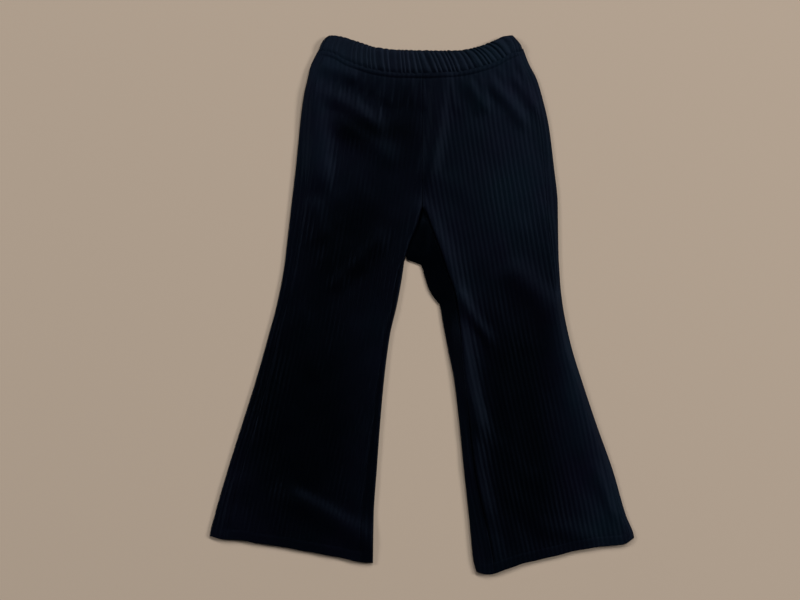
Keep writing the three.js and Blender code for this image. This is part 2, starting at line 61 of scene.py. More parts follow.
# The surface that the camera looks at, and how the frame lies on it
IMAGE_WIDTH_PX = 800
MM_PER_PX = 1.05
VIEW_CENTRE_MM = (-23.1, 5.2)

# Heights of the upper layer's underside above the surface
UNDER_REST = 2.6
UNDER_LEAST = 2.0
UNDER_MOST = 6.6
EDGE_RISE = 0.4

# Waist
WAIST_LEVEL = 243.0
WAIST_EASE_LEVEL = 150.0
JOIN_BAND = 5.6
JOIN_DIP = 0.5
JOIN_DIP_REACH = 1.2
JOIN_LAP = 1.6
CASING_DEPTH = 23.0
CASING_WALL = 3.0
CASING_AIR = 0.4
CASING_SQUARENESS = 0.42
CASING_END = 14
GATHER_PINCH = 0.6
GATHER_SCALLOP = 0.6
GATHER_BELOW = 0.3
FORK_WIDTH = 0.12

# Hem
HEM_DEPTH = 11.0
HEM_EASE_LEVEL = -150.0

# Seams and stitched strips
SEAM_GAP = 0.04
SEAM_REACH = 2.4
INSEAM_DIP = 0.6
SIDE_DIP = 0.2
PRESSED_FLAT = 0.05
DOUBLED = 0.5
HEM_DOUBLED = 0.3
STRIP_EASE = 2.5
BAND_EASE = 1.5
HEM_EASE = 4.0
STITCH_DIP = 0.28
STITCH_GROOVE = 0.8
HEM_GROOVE = 0.5
STITCH_SHARE = 0.8
STITCH_LIFT = -0.1
TOP_STITCH_INSET = 0.9
STITCH_MARGIN = 1.0
PANEL_TOP = WAIST_LEVEL - SEAM_GAP
BAND_SEAM = PANEL_TOP - JOIN_BAND

# Rolled and turned edges
ROLL_RISE = 1.0
ROLL_CREST = 1.7
ROLL_FALL = 10.5
ROLL_TOP = 112.0
LEAST_STANDING = 0.2
FLAP_START = 1.2

# The back's creases, and the lift below the casing
BACK_FOLD_MOST = 0.55
CREASE_START = 12.0
WAIST_LIFT = 1.6
WAIST_LIFT_DEPTH = 42.0

# How finely the cloth is divided
RIB_SAMPLES = 8
FLOOR_RIB_SAMPLES = 6
FIRST_RIB_AT = -30.0
LAST_RIB_AT = 145.0
LAST_FLOOR_RIB_AT = 170.0
FLAP_COLUMNS = 28
FOLD_COLUMNS = 12
FRONT_ROW_STEP = 4.2
BACK_ROW_STEP = 5.2
HIP_DEPTH = 50.0
HIP_STEP_SHARE = 0.75
FINE_ROW_STEP = 0.65
FINE_PAST_BAND = 2.0
FINE_PAST_HEM = 3.0
GATHER_SAMPLES = 9
BACK_GATHER_SAMPLES = 4
CASING_TURN_COLUMNS = 12
CASING_ROWS = 44
STITCH_PATH_POINTS = 240
SOLVER_ROUNDS = 8

# What shows of each panel laid flat, in metres and square metres
FRONT_FLAT = (0.152, 0.55)
FRONT_AREA = 0.068
BACK_FLAT = (0.2, 0.55)
BACK_AREA = 0.085

Line = namedtuple("Line", "y edge_out seam_out seam_in edge_in")
Hem = namedtuple("Hem", "across rise")
Lean = namedtuple("Lean", "y shift")
Along = namedtuple("Along", "x y")
Side = namedtuple("Side", "up right left")
Slant = namedtuple("Slant", "x slant")
Fold = namedtuple("Fold", "x0 y0 x1 y1 bow width height")
Roll = namedtuple("Roll", "y height")
Sag = namedtuple("Sag", "y share")
NapAndPaintedLight = namedtuple("NapAndPaintedLight", "x y reach_x reach_y lift")
Turn = namedtuple("Turn", "seam centre reach radius under")
Mix = namedtuple("Mix", "base loops pile tone fuzz")
Lamp = namedtuple("Lamp", "name x y z size power")
Wave = namedtuple("Wave", "size y across")

CASING_FOOT = [
    Along(-108, 268), Along(-94, 264.5), Along(-80, 256.5), Along(-65, 251), Along(-47, 246),
    Along(-22, 243.2), Along(6, 243), Along(28, 243.8), Along(45, 245.8), Along(62, 249.8),
    Along(79, 255.6), Along(90, 262), Along(105, 268.5),
]

CASING_HEAD = [
    Along(-102, 281), Along(-94, 282.4), Along(-84, 281), Along(-65, 275), Along(-46, 269.4),
    Along(-22, 267.2), Along(20, 266.4), Along(40, 266.8), Along(55, 269.6), Along(74, 276.2),
    Along(86, 281.6), Along(94, 282.4), Along(100, 279),
]

CASING_SIDE = [
    Side(0, 108.5, 105.5), Side(0.5, 106, 104), Side(0.85, 102.6, 100.4), Side(1, 99.5, 96.5),
]

GATHER_SLANT = [
    Slant(-108, 0), Slant(-80, -0.12), Slant(-30, -0.2), Slant(10, -0.32), Slant(50, -0.45),
    Slant(85, -0.5), Slant(106, 0),
]

RIB_LEAN = [
    Lean(-285, 96), Lean(-157, 69.5), Lean(-115, 60.5), Lean(-42, 45), Lean(21, 33.5),
    Lean(84, 23), Lean(147, 12.5), Lean(200, 5), Lean(243, 0), Lean(270, -2),
]

RIGHT_LINES = [
    Line(-280, 223.6, 206, 66, 51.5),
    Line(-243, 222.5, 205, 65, 51),
    Line(-220, 217.3, 201, 64, 50.6),
    Line(-173, 203.7, 189, 59, 47.4),
    Line(-126, 189, 175, 53, 44),
    Line(-79, 174.2, 162, 46.5, 39.8),
    Line(-31, 160.6, 150.5, 39.6, 33.5),
    Line(0, 152.3, 142, 32.4, 26.3),
    Line(31, 146, 135, 26, 20.6),
    Line(49, 143.4, 131.5, 18, 18),
    Line(62, 142, 129.5, 14, 14),
    Line(83, 139.5, 126, 5.4, 5.4),
    Line(95, 138.2, 124.4, 2, 2),
    Line(105, 137, 123, 0, 0),
    Line(148, 132, 119, 0, 0),
    Line(189, 128, 116.5, 0, 0),
    Line(220, 124, 114, 0, 0),
    Line(238, 119.8, 110.5, 0, 0),
    Line(247, 118, 109.3, 0, 0),
    Line(257, 114, 105, 0, 0),
    Line(268, 108.2, 98, 0, 0),
]

RIGHT_HEM = [
    Hem(0, 0), Hem(0.06, 0.4), Hem(0.21, 5.4), Hem(0.46, 13.8), Hem(0.7, 20), Hem(0.82, 24),
    Hem(0.93, 24.6), Hem(1, 27.4),
]

LEFT_LINES = [
    Line(-284, 223.6, 217.9, 75, 58.5),
    Line(-268, 223.6, 217.9, 74, 53.8),
    Line(-244, 222.6, 216.9, 70, 51.2),
    Line(-220, 213.8, 208.4, 64.5, 49),
    Line(-173, 200.1, 194.9, 55, 43.8),
    Line(-126, 183.3, 178.1, 49.5, 39.2),
    Line(-79, 167.6, 161.6, 44.6, 33.6),
    Line(-47, 157.6, 150.4, 41.5, 27.3),
    Line(-16, 150.4, 144.2, 38.5, 21.4),
    Line(0, 147.6, 141.8, 36.4, 18.6),
    Line(6, 146.8, 141.2, 35.4, 13.6),
    Line(16, 145.6, 140, 33, 7.4),
    Line(31, 144.5, 138.4, 27.4, 2.4),
    Line(43, 143.8, 137.4, 23.4, -1.6),
    Line(49, 143.4, 136.8, 21.4, -18),
    Line(62, 143.1, 135.4, 16.8, -14),
    Line(83, 142.8, 132.8, 8.8, -5.4),
    Line(95, 142.6, 131.4, 4.6, -2),
    Line(105, 142.5, 130.6, 0, 0),
    Line(148, 138.1, 127.4, 0, 0),
    Line(189, 132.9, 122.9, 0, 0),
    Line(220, 125.6, 116.4, 0, 0),
    Line(238, 120, 111.4, 0, 0),
    Line(252, 112.6, 103.9, 0, 0),
    Line(269, 106, 96.9, 0, 0),
]

LEFT_HEM = [
    Hem(0, 3), Hem(0.08, 0.6), Hem(0.2, 6.2), Hem(0.33, 13.4), Hem(0.52, 20.4), Hem(0.71, 27.8),
    Hem(0.84, 31), Hem(0.92, 31.4), Hem(1, 38.6),
]

# How high the front's inseam edge rolls up, and the share of its usual height at which the back stands
RIGHT_ROLL = [Roll(-90, 0), Roll(10, 0.4), Roll(60, 1.4), Roll(96, 1.8), Roll(112, 0)]
LEFT_ROLL = [
    Roll(-284, 0.5), Roll(-240, 1.2), Roll(-200, 2.2), Roll(-150, 2.2), Roll(-126, 1.2), Roll(-108, 0.6),
    Roll(-50, 0.8), Roll(-20, 1.6), Roll(10, 2.8), Roll(80, 3.2), Roll(100, 1.8), Roll(112, 0),
]
RIGHT_SAG = [Sag(-283, 0.8), Sag(40, 0.8)]
OUTER_STANDING = {-1: 0.7, 1: 0.5}
LEFT_SAG = [Sag(-283, 1), Sag(-120, 0.9), Sag(-40, 0.6), Sag(10, 0.4), Sag(49, 0.25), Sag(105, 0.25)]

# Ridges and troughs of the upper layer, from end to end, with bow the middle's distance to the left
FOLDS = [
    # waist and hip, right side
    Fold(-112, 252, -64, 236, 1, 6, 1.8),
    Fold(-114, 226, -34, 176, 4, 8, 2.0),
    Fold(-104, 202, -20, 140, 3, 11, 1.9),
    Fold(-90, 236, -24, 196, 1, 7, -1.0),
    Fold(-129, 264, -103, 108, 3, 13, 3.8),
    Fold(-120, 116, -106, 60, 2, 11, 1.2),
    Fold(-96, 166, -88, 112, 0, 10, -0.9),
    # either side of the centre front
    Fold(24, 282, 1, 116, 4, 8, 3.4),
    Fold(-6, 240, -12, 140, 0, 14, 0.7),
    Fold(38, 206, 24, 130, 2, 6, -0.9),
    # hip, left side
    Fold(44, 238, 70, 198, 1, 5, 1.5),
    Fold(66, 240, 112, 182, 2, 6, 2.6),
    Fold(86, 246, 124, 196, 3, 5, 1.4),
    Fold(80, 46, 148, -20, 3, 12, 1.9),
    # legs
    Fold(-30, 84, -102, 10, 2, 8, 1.5),
    Fold(-56, 44, -122, -18, 0, 9, -0.9),
    Fold(-84, 100, -106, 34, 2, 9, 0.8),
    Fold(-160, -190, -26, -264, 3, 13, 2.5),
    Fold(-146, -184, -56, -236, 3, 9, -0.9),
    Fold(-120, -20, -150, -150, 0, 20, 0.8),
    Fold(-196, -170, -206, -238, 0, 7, 1),
    Fold(34, 24, 78, -46, -3, 6, 1.3),
    Fold(37, -2, 66, -150, -5, 8, 2.1),
    Fold(56, -22, 68, -66, 0, 4, -0.9),
    Fold(66, -60, 90, -150, -4, 8, -0.8),
    Fold(-6, 48, 4, 100, 0, 7, -1.4),
    Fold(122, 30, 194, -214, 0, 14, 2.8),
    Fold(100, -40, 130, -180, 4, 20, -1.0),
    Fold(178, -160, 204, -232, 0, 5, 1.2),
    Fold(110, -232, 196, -244, 0, 10, 0.9),
]
FOLD_END = 0.25

# The low creases pressed into the back where it lies on the surface
BACK_FOLDS = [
    Fold(-96, 222, -34, 158, 4, 5, 0.5),
    Fold(-70, 236, -52, 190, 1, 4, 0.35),
    Fold(24, 232, 62, 170, -3, 5, 0.5),
    Fold(88, 226, 60, 150, 3, 4, 0.4),
    Fold(-12, 150, -60, 96, 3, 6, 0.45),
    Fold(10, 132, 66, 84, -4, 5, 0.5),
    Fold(-40, 60, -120, 22, 4, 5, 0.5),
    Fold(46, 40, 128, 8, -3, 5, 0.4),
    Fold(-70, -30, -150, -66, 3, 4, 0.3),
    Fold(74, -60, 148, -24, -3, 5, 0.35),
    Fold(-88, -150, -176, -196, 5, 6, 0.45),
    Fold(86, -170, 170, -140, -4, 6, 0.4),
    Fold(100, -226, 188, -206, 4, 5, 0.35),
    Fold(-70, -216, -120, -244, 2, 4, 0.3),
]

# The short puckers that fan out below the casing
PUCKER_COUNT = 21
PUCKER_REACH = 98.0
PUCKER_START = -4.0
PUCKER_LENGTH = 38.0
PUCKER_WIDTH = 3.6
PUCKER_HEIGHT = 0.6
PUCKER_FAN = 0.2
PUCKER_UNEVEN = 0.4

# Patches of painted light and shade: where the brushed nap stands up the knit is painted paler and tinted,
# and where it lies flat it is painted darker; the same patches also set the gloss and roughness and how far
# the ribs flatten
NAP_AND_PAINTED_LIGHT_PATCHES = [
    NapAndPaintedLight(0, 262, 140, 16, 0.25),
    NapAndPaintedLight(-104, 256, 30, 34, 0.8),
    NapAndPaintedLight(-84, 200, 26, 34, -0.25),
    NapAndPaintedLight(-104, 170, 15, 44, 0.5),
    NapAndPaintedLight(-56, 182, 34, 15, -0.5),
    NapAndPaintedLight(-14, 186, 28, 62, -0.35),
    NapAndPaintedLight(-70, 70, 55, 65, -0.55),
    NapAndPaintedLight(-128, -120, 75, 150, -0.7),
    NapAndPaintedLight(98, 240, 45, 45, 0.6),
    NapAndPaintedLight(88, 265, 32, 16, 0.2),
    NapAndPaintedLight(108, 130, 40, 75, 0.6),
    NapAndPaintedLight(98, -90, 50, 150, -0.6),
    NapAndPaintedLight(122, -202, 60, 60, -0.3),
    NapAndPaintedLight(160, -70, 20, 80, 0.7),
    NapAndPaintedLight(196, -198, 32, 62, 0.7),
]
LEAST_NAP_AND_PAINTED_LIGHT = 0.45

# How the ribs wander, how uneven they are, and how they flatten or fade towards edges and hems
RIB_WANDER = [Wave(0.22, 17, 23), Wave(0.12, 7.3, 11)]
RIB_UNEVEN = [Wave(0.14, 31, 19), Wave(0.1, 13, -8)]
RIB_USUAL = 0.9
RIB_FADE = 1.0
RIB_PRESSED = 0.35
RIB_FULL = 1.2
RIB_STRETCH = 0.35
FLAP_RIBS = 0.7
FLAP_RIB_START = 2.0
FLAP_RIB_END = 0.7
FLOOR_RIB_START = 4.0
HEM_RIBS = 0.5
HEM_RIB_FADE = 3.0

# The look of the knit and of the thread
PANEL_GLOSS = 0.07
CASING_GLOSS = 0.098
THREAD_GLOSS = 0.035
THREAD_ROUGHNESS = 0.42
SHINE_TINT = (0.4, 0.6, 1.0, 1)
SHEEN_TINT = (0.4, 0.65, 1.0, 1)
SHEEN = 0.002
SHEEN_ROUGHNESS = 0.35
LOOPS_PER_RIB = 4.0
COURSES_PER_RIB = 5.5
LOOP_SLANT = 1.2
LOOP_ROUNDNESS = 0.3
LOOP_RELIEF = 0.35
BUMP_STRENGTH = 0.3
FUZZ_RELIEF = 0.6
FUZZ_SCALE = 1400.0
TONE_SCALE = 14.0
TWIST_SCALE = 2600.0

# How the knit's cast, lightness, roughness and gloss follow its loops, pile, tone and fuzz; through the
# pile the cast and lightness carry painted light and shade
CAST = Mix(base=-0.2, loops=0.08, pile=-0.5, tone=2.5, fuzz=0)
LIGHTNESS = Mix(base=-0.2, loops=0, pile=0.45, tone=0, fuzz=0)
ROUGHNESS = Mix(base=0.17, loops=0, pile=0.21, tone=0.1, fuzz=0.06)
GLOSS = Mix(base=0.4, loops=0, pile=0.6, tone=0, fuzz=0)

# The light and the floor, in metres and watts
LAMPS = [
    Lamp("side_key", 5.85, 1.35, 3.9, 1.95, 302),
    Lamp("right_key", 3.6, 5.1, 6.3, 2.25, 282),
    Lamp("top_key", 0.3, 6.6, 5.4, 2.25, 182),
    Lamp("left_fill", -6.0, 2.4, 4.2, 2.25, 228),
]
AMBIENT_COLOUR = (0.9, 0.95, 1.0, 1)
AMBIENT_STRENGTH = 0.06
FLOOR_HALF_WIDTH = 3.0
FLOOR_DROP = 0.0002

# The slight unevenness of cloth that was smoothed out by hand
UNEVEN_SEED = 11
UNEVEN_WAVES = 26
UNEVEN_SHORTEST = 24.0
UNEVEN_LONGEST = 90.0


def curve_through(rows, at_column, value_column):
    """A smooth curve through a table's rows, read from one column to another, with no overshoot."""
    at = np.array([getattr(row, at_column) for row in rows], float)
    value = np.array([getattr(row, value_column) for row in rows], float)
    slope = np.diff(value) / np.diff(at)
    product = slope[:-1] * slope[1:]
    total = np.where(product > 0, slope[:-1] + slope[1:], 1.0)
    middle = np.where(product > 0, 2 * product / total, 0.0)
    tangent = np.concatenate([slope[:1], middle, slope[-1:]])

    def read(x):
        x = np.asarray(x, float)
        i = np.clip(np.searchsorted(at, x) - 1, 0, len(slope) - 1)
        span = at[i + 1] - at[i]
        t = np.clip((x - at[i]) / span, 0, 1)
        rise = value[i + 1] - value[i]
        start = (tangent[i] * span - rise) * t * (1 - t) ** 2
        end = (rise - tangent[i + 1] * span) * t * t * (1 - t)
        before = np.minimum(x - at[0], 0) * tangent[0]
        after = np.maximum(x - at[-1], 0) * tangent[-1]
        return value[i] + rise * t + start + end + before + after

    return read


def smooth_step(start, end, x):
    t = np.clip((x - start) / (end - start), 0, 1)
    return t * t * (3 - 2 * t)


def bell(distance, width):
    return np.exp(-((distance / width) ** 2))


def waves(table, y, across):
    return sum(wave.size * np.sin(y / wave.y + across / wave.across) for wave in table)


casing_foot = curve_through(CASING_FOOT, "x", "y")
casing_head = curve_through(CASING_HEAD, "x", "y")
casing_right = curve_through(CASING_SIDE, "up", "right")
casing_left = curve_through(CASING_SIDE, "up", "left")
gather_slant = curve_through(GATHER_SLANT, "x", "slant")
rib_lean = curve_through(RIB_LEAN, "y", "shift")


def pucker_folds():
    """The short folds below the casing, each a little longer or shorter than the next."""
    folds = []
    for n in range(PUCKER_COUNT):
        x = PUCKER_REACH * (2 * n / (PUCKER_COUNT - 1) - 1)
        size = 1 + PUCKER_UNEVEN * math.sin(n * 2.4) * math.cos(n * 1.1)
        top = float(casing_foot(x)) + PUCKER_START
        end = top - PUCKER_LENGTH * size
        folds.append(Fold(x, top, x * (1 + PUCKER_FAN), end, 0, PUCKER_WIDTH, PUCKER_HEIGHT * size))
    return folds


def fold_relief(fold, x, y):
    """How high one fold stands over each point: a bell across it, eased in at both ends."""
    dx, dy = fold.x1 - fold.x0, fold.y1 - fold.y0
    length = math.hypot(dx, dy)
    along = ((x - fold.x0) * dx + (y - fold.y0) * dy) / length**2
    bow = fold.bow * 4 * along * (1 - along)
    off = ((y - fold.y0) * dx - (x - fold.x0) * dy) / length - bow
    ease = smooth_step(0, FOLD_END, along) * smooth_step(1, 1 - FOLD_END, along)
    return fold.height * ease * bell(off, fold.width)


def unevenness(x, y):
    """Broad shallow waves that keep the cloth from lying like a board, about 1 at their highest."""
    rng = np.random.default_rng(UNEVEN_SEED)
    total = np.zeros_like(x)
    for _ in range(UNEVEN_WAVES):
        heading = rng.uniform(0, math.pi)
        length = rng.uniform(UNEVEN_SHORTEST, UNEVEN_LONGEST)
        phase = rng.uniform(0, 2 * math.pi)
        total += np.sin(2 * math.pi * (x * math.cos(heading) + y * math.sin(heading)) / length + phase)
    return total / math.sqrt(UNEVEN_WAVES)


def nap_and_painted_light(x, y):
    """How far the nap stands up at each point, 1 where it was left alone; above 1 the knit gets painted
    light and below 1 painted shade.
    """
    total = np.ones_like(x)
    for patch in NAP_AND_PAINTED_LIGHT_PATCHES:
        off = np.hypot((x - patch.x) / patch.reach_x, (y - patch.y) / patch.reach_y)
        total += patch.lift * bell(off, 1)
    return np.maximum(total, LEAST_NAP_AND_PAINTED_LIGHT)


class Leg:
    """One leg's outline and seams, as distances outwards from the middle, and its cross rows."""

    def __init__(self, side, hem_level, crotch_level, lines, hem, roll, sag):
        self.side = side
        self.hem_level = hem_level
        self.hem_seam = hem_level + HEM_DEPTH
        self.crotch_level = crotch_level
        self.edge_out = curve_through(lines, "y", "edge_out")
        self.seam_out = curve_through(lines, "y", "seam_out")
        self.seam_in = curve_through(lines, "y", "seam_in")
        self.edge_in = curve_through(lines, "y", "edge_in")
        self.hem_rise = curve_through(hem, "across", "rise")
        self.roll = curve_through(roll, "y", "height")
        self.sag = curve_through(sag, "y", "share")

    def row_height(self, level, out, y):
        """A row's height at a distance outwards. It follows the casing at the top and the hem below."""
        near_waist = smooth_step(WAIST_EASE_LEVEL, WAIST_LEVEL, level)
        near_hem = 1 - smooth_step(self.hem_level, HEM_EASE_LEVEL, level)
        across = (out - self.edge_in(y)) / (self.edge_out(y) - self.edge_in(y))
        waist_rise = casing_foot(self.side * out) - WAIST_LEVEL
        wave = 0.35 * np.sin(out / 11) + 0.15 * np.sin(out / 4.1 + self.side)
        return level + waist_rise * near_waist + (self.hem_rise(across) + wave) * near_hem

    def settle(self, level, place):
        """Distance outwards and height of the points of a row that place gives for their heights."""
        y = np.array(level, float)
        for _ in range(SOLVER_ROUNDS):
            y = self.row_height(level, place(y), y)
        return place(y), y

    def front_edges(self, y):
        """How far out a front panel starts, at the inseam, and ends, at the side seam."""
        return self.seam_in(y) + SEAM_GAP / 2, self.seam_out(y) - SEAM_GAP / 2

    def rolled_edge(self, distance, y):
        """How far the front rises in the roll along its inseam, steeply at first and falling slowly."""
        rise = 1 - np.exp(-((distance / ROLL_RISE) ** 2))
        fall = bell(np.maximum(distance - ROLL_CREST, 0), ROLL_FALL)
        return np.maximum(self.roll(np.clip(y, self.hem_level, ROLL_TOP)), 0) * rise * fall

    def standing(self, y):
        """Share of its usual height at which the back's inner edge stands."""
        return np.clip(self.sag(np.clip(y, self.hem_level, self.crotch_level)), LEAST_STANDING, 1)


RIGHT_LEG = Leg(-1, -270.0, 49.0, RIGHT_LINES, RIGHT_HEM, RIGHT_ROLL, RIGHT_SAG)
LEFT_LEG = Leg(1, -283.0, 105.0, LEFT_LINES, LEFT_HEM, LEFT_ROLL, LEFT_SAG)
LEGS = {"right": RIGHT_LEG, "left": LEFT_LEG}


class Cloth:
    """The heights that the settings give the cloth: folds, unevenness, ribs and stitched strips."""

    def __init__(self, settings):
        self.thick = settings.thickness / MM
        self.pitch = settings.rib_pitch / MM
        self.rib = settings.rib_height / MM
        self.depth = settings.fold_depth
        self.uneven = settings.unevenness / MM
        self.folds = FOLDS + pucker_folds()

    def underside(self, x, y):
        """Height of the upper layer's underside, kept softly between its least and its most."""
        total = self.uneven * unevenness(x, y)
        for fold in self.folds:
            total += self.depth * fold_relief(fold, x, y)
        total += WAIST_LIFT * smooth_step(-WAIST_LIFT_DEPTH, -2, y - casing_foot(x))
        room = np.where(total > 0, UNDER_MOST - UNDER_REST, UNDER_REST - UNDER_LEAST)
        return UNDER_REST + room * np.tanh(total / room)

    def back_creases(self, x, y):
        """How far the back is pushed up off the surface in its creases."""
        total = np.zeros_like(x)
        for fold in BACK_FOLDS:
            total += fold_relief(fold, x, y)
        return BACK_FOLD_MOST * np.tanh(total / BACK_FOLD_MOST)

    def ribs(self, across, y=0.0):
        """Rib relief from 0 in a valley to the rib height on a crest, by distance across the ribs."""
        height = self.rib * (RIB_USUAL + waves(RIB_UNEVEN, y, across))
        phase = 2 * math.pi * (across + waves(RIB_WANDER, y, across)) / self.pitch
        return height * (0.5 + 0.5 * np.cos(phase))

    def rib_share(self, x, y):
        """Share of their height that the ribs keep, less where the nap lies flat."""
        return RIB_PRESSED + (1 - RIB_PRESSED) * np.minimum(nap_and_painted_light(x, y), RIB_FULL)

    def strips(self, leg, level):
        """What the doubled strips and their stitching add, at the waist band and the hem."""
        band = DOUBLED * smooth_step(BAND_SEAM - BAND_EASE, BAND_SEAM + STRIP_EASE, level)
        hem = HEM_DOUBLED * smooth_step(leg.hem_seam + STRIP_EASE, leg.hem_seam - HEM_EASE, level)
        turned_in = JOIN_DIP * bell(PANEL_TOP - level, JOIN_DIP_REACH)
        return band + hem - STITCH_DIP * self.groove(leg, level) - turned_in

    def groove(self, leg, level):
        """The grooves that the stitching pulls into the cloth, 1 at their deepest."""
        at_hem = bell(level - leg.hem_seam, STITCH_GROOVE)
        return bell(level - BAND_SEAM, STITCH_GROOVE) + HEM_GROOVE * at_hem


def row_levels(leg, coarse):
    """Levels of the cross rows from the waist to the hem, close together at the stitched strips."""
    band_end = BAND_SEAM - FINE_PAST_BAND
    hip_end = WAIST_LEVEL - HIP_DEPTH
    hem_start = leg.hem_seam + FINE_PAST_HEM
    hem_rows = round((hem_start - leg.hem_level) / FINE_ROW_STEP)
    return np.concatenate([
        np.arange(PANEL_TOP, band_end, -FINE_ROW_STEP),
        np.arange(band_end, hip_end, -coarse * HIP_STEP_SHARE),
        np.arange(hip_end, hem_start, -coarse),
        np.linspace(hem_start, leg.hem_level, hem_rows),
    ])


def cloth_mesh(name, columns, rows, place, flip):
    """A grid of cloth whose points place lays out, from column and row numbers, with its rib map."""
    grid = bmesh.new()
    bmesh.ops.create_grid(grid, x_segments=columns, y_segments=rows, size=0.5)
    mesh = bpy.data.meshes.new(name)
    grid.to_mesh(mesh)
    grid.free()
    flat = np.empty(len(mesh.vertices) * 3, np.float32)
    mesh.vertices.foreach_get("co", flat)
    flat = flat.reshape(-1, 3)
    column = np.rint((flat[:, 0] + 0.5) * columns).astype(int)
    row = np.rint((0.5 - flat[:, 1]) * rows).astype(int)
    points, rib_map, pile = place(column, row)
    mesh.vertices.foreach_set("co", (points * MM).astype(np.float32).ravel())
    # The pile attribute carries the nap, with its painted light and shade, to the material
    nap_and_light = mesh.attributes.new("pile", "FLOAT", "POINT")
    nap_and_light.data.foreach_set("value", np.broadcast_to(pile, len(points)).astype(np.float32))
    corner = np.empty(len(mesh.loops), np.int32)
    mesh.loops.foreach_get("vertex_index", corner)
    layer = mesh.uv_layers.new(name="ribs")
    layer.data.foreach_set("uv", rib_map[corner].astype(np.float32).ravel())

    sewn = bmesh.new()
    sewn.from_mesh(mesh)
    bmesh.ops.remove_doubles(sewn, verts=sewn.verts, dist=1e-6)
    if flip:
        bmesh.ops.reverse_faces(sewn, faces=sewn.faces)
    for face in sewn.faces:
        face.smooth = True
    sewn.to_mesh(mesh)
    sewn.free()
    return mesh


def add_piece(name, mesh, material, nodes=(), thickness=0.0):
    """Links a piece, gives it its wall and material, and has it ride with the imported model."""
    piece = bpy.data.objects.new(name, mesh)
    bpy.context.scene.collection.objects.link(piece)
    mesh.materials.clear()
    mesh.materials.append(material)
    if thickness:
        wall = piece.modifiers.new("wall", "SOLIDIFY")
        wall.thickness = thickness
        wall.offset = -1
    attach(piece, BODY)
    if nodes:
        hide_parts(*nodes)
    return piece


def pressed(heading):
    """Share of a seam's dip in a piece that runs from it towards +X or -X: seams are pressed one way."""
    return 1.0 if heading > 0 else PRESSED_FLAT


def front_points(leg, cloth, out, y, level):
    """Upper face of a front panel."""
    near, far = leg.front_edges(y)
    inseam = out - near
    side_seam = far - out
    dip = INSEAM_DIP * pressed(leg.side) * bell(inseam, SEAM_REACH / 2)
    dip = dip + SIDE_DIP * pressed(-leg.side) * bell(side_seam, SEAM_REACH / 2)
    x = leg.side * out
    roll = leg.rolled_edge(inseam, y)
    relief = cloth.ribs(out - rib_lean(y), y) * (1 - bell(np.minimum(inseam, side_seam), RIB_FADE))
    relief = relief * cloth.rib_share(x, y)
    above_hem = smooth_step(leg.hem_seam - HEM_RIB_FADE, leg.hem_seam + HEM_RIB_FADE, level)
    relief = relief * (HEM_RIBS + (1 - HEM_RIBS) * above_hem)
    under = cloth.underside(x, y)
    relief = relief / (1 + RIB_STRETCH * (roll + np.abs(under - UNDER_REST)))
    z = under + cloth.thick + relief + roll + cloth.strips(leg, level) - dip
    return np.column_stack([x, y, z])


def front_mesh(name, leg, cloth):
    """A front panel, with its columns along the ribs and its edges on the seams."""
    levels = row_levels(leg, FRONT_ROW_STEP)
    step = cloth.pitch / RIB_SAMPLES
    starts = np.arange(FIRST_RIB_AT, LAST_RIB_AT, step)

    def place(column, row):
        level = levels[row]
        start = starts[column]

        def along(y):
            return np.clip(start + rib_lean(y), *leg.front_edges(y))

        out, y = leg.settle(level, along)
        rib_map = np.column_stack([(out - rib_lean(y)) / cloth.pitch, -y / cloth.pitch])
        # The last value is the nap with its painted light and shade
        return front_points(leg, cloth, out, y, level), rib_map, nap_and_painted_light(leg.side * out, y)

    return cloth_mesh(name, len(starts) - 1, len(levels) - 1, place, leg.side < 0)


# The stretches of a back panel's section, in order round it
OUTER_FLAP, OUTER_FOLD, FLOOR, INNER_FOLD, INNER_FLAP = range(5)


def back_section(cloth):
    """Which stretch of the section each column is in, and how far along it."""
    starts = np.arange(FIRST_RIB_AT, LAST_FLOOR_RIB_AT, cloth.pitch / FLOOR_RIB_SAMPLES)
    flap = np.linspace(0, 1, FLAP_COLUMNS, endpoint=False)
    fold = np.linspace(0, 1, FOLD_COLUMNS, endpoint=False)
    stretch = np.concatenate([
        np.full(len(flap), OUTER_FLAP), np.full(len(fold), OUTER_FOLD), np.full(len(starts), FLOOR),
        np.full(len(fold) + 1, INNER_FOLD), np.full(len(flap), INNER_FLAP),
    ])
    part = np.concatenate([flap, fold, starts[::-1], np.append(fold, 1), flap + 1 / FLAP_COLUMNS])
    return stretch, part


def turned_edge(leg, cloth, level, seam, edge, towards, standing):
    """A turned edge at each level: its seam, its fold's centre, reach and radius, and its height inside."""
    _, seam_y = leg.settle(level, seam)
    _, edge_y = leg.settle(level, edge)
    seam_at = seam(seam_y) + towards * SEAM_GAP / 2
    rim = edge(edge_y)
    under = (cloth.underside(leg.side * rim, edge_y) + EDGE_RISE) * standing(edge_y)
    radius = (under + cloth.thick) / 2
    reach = np.minimum(radius, (rim - seam_at) * towards)
    return Turn(seam_at, rim - towards * reach, reach, radius, under)


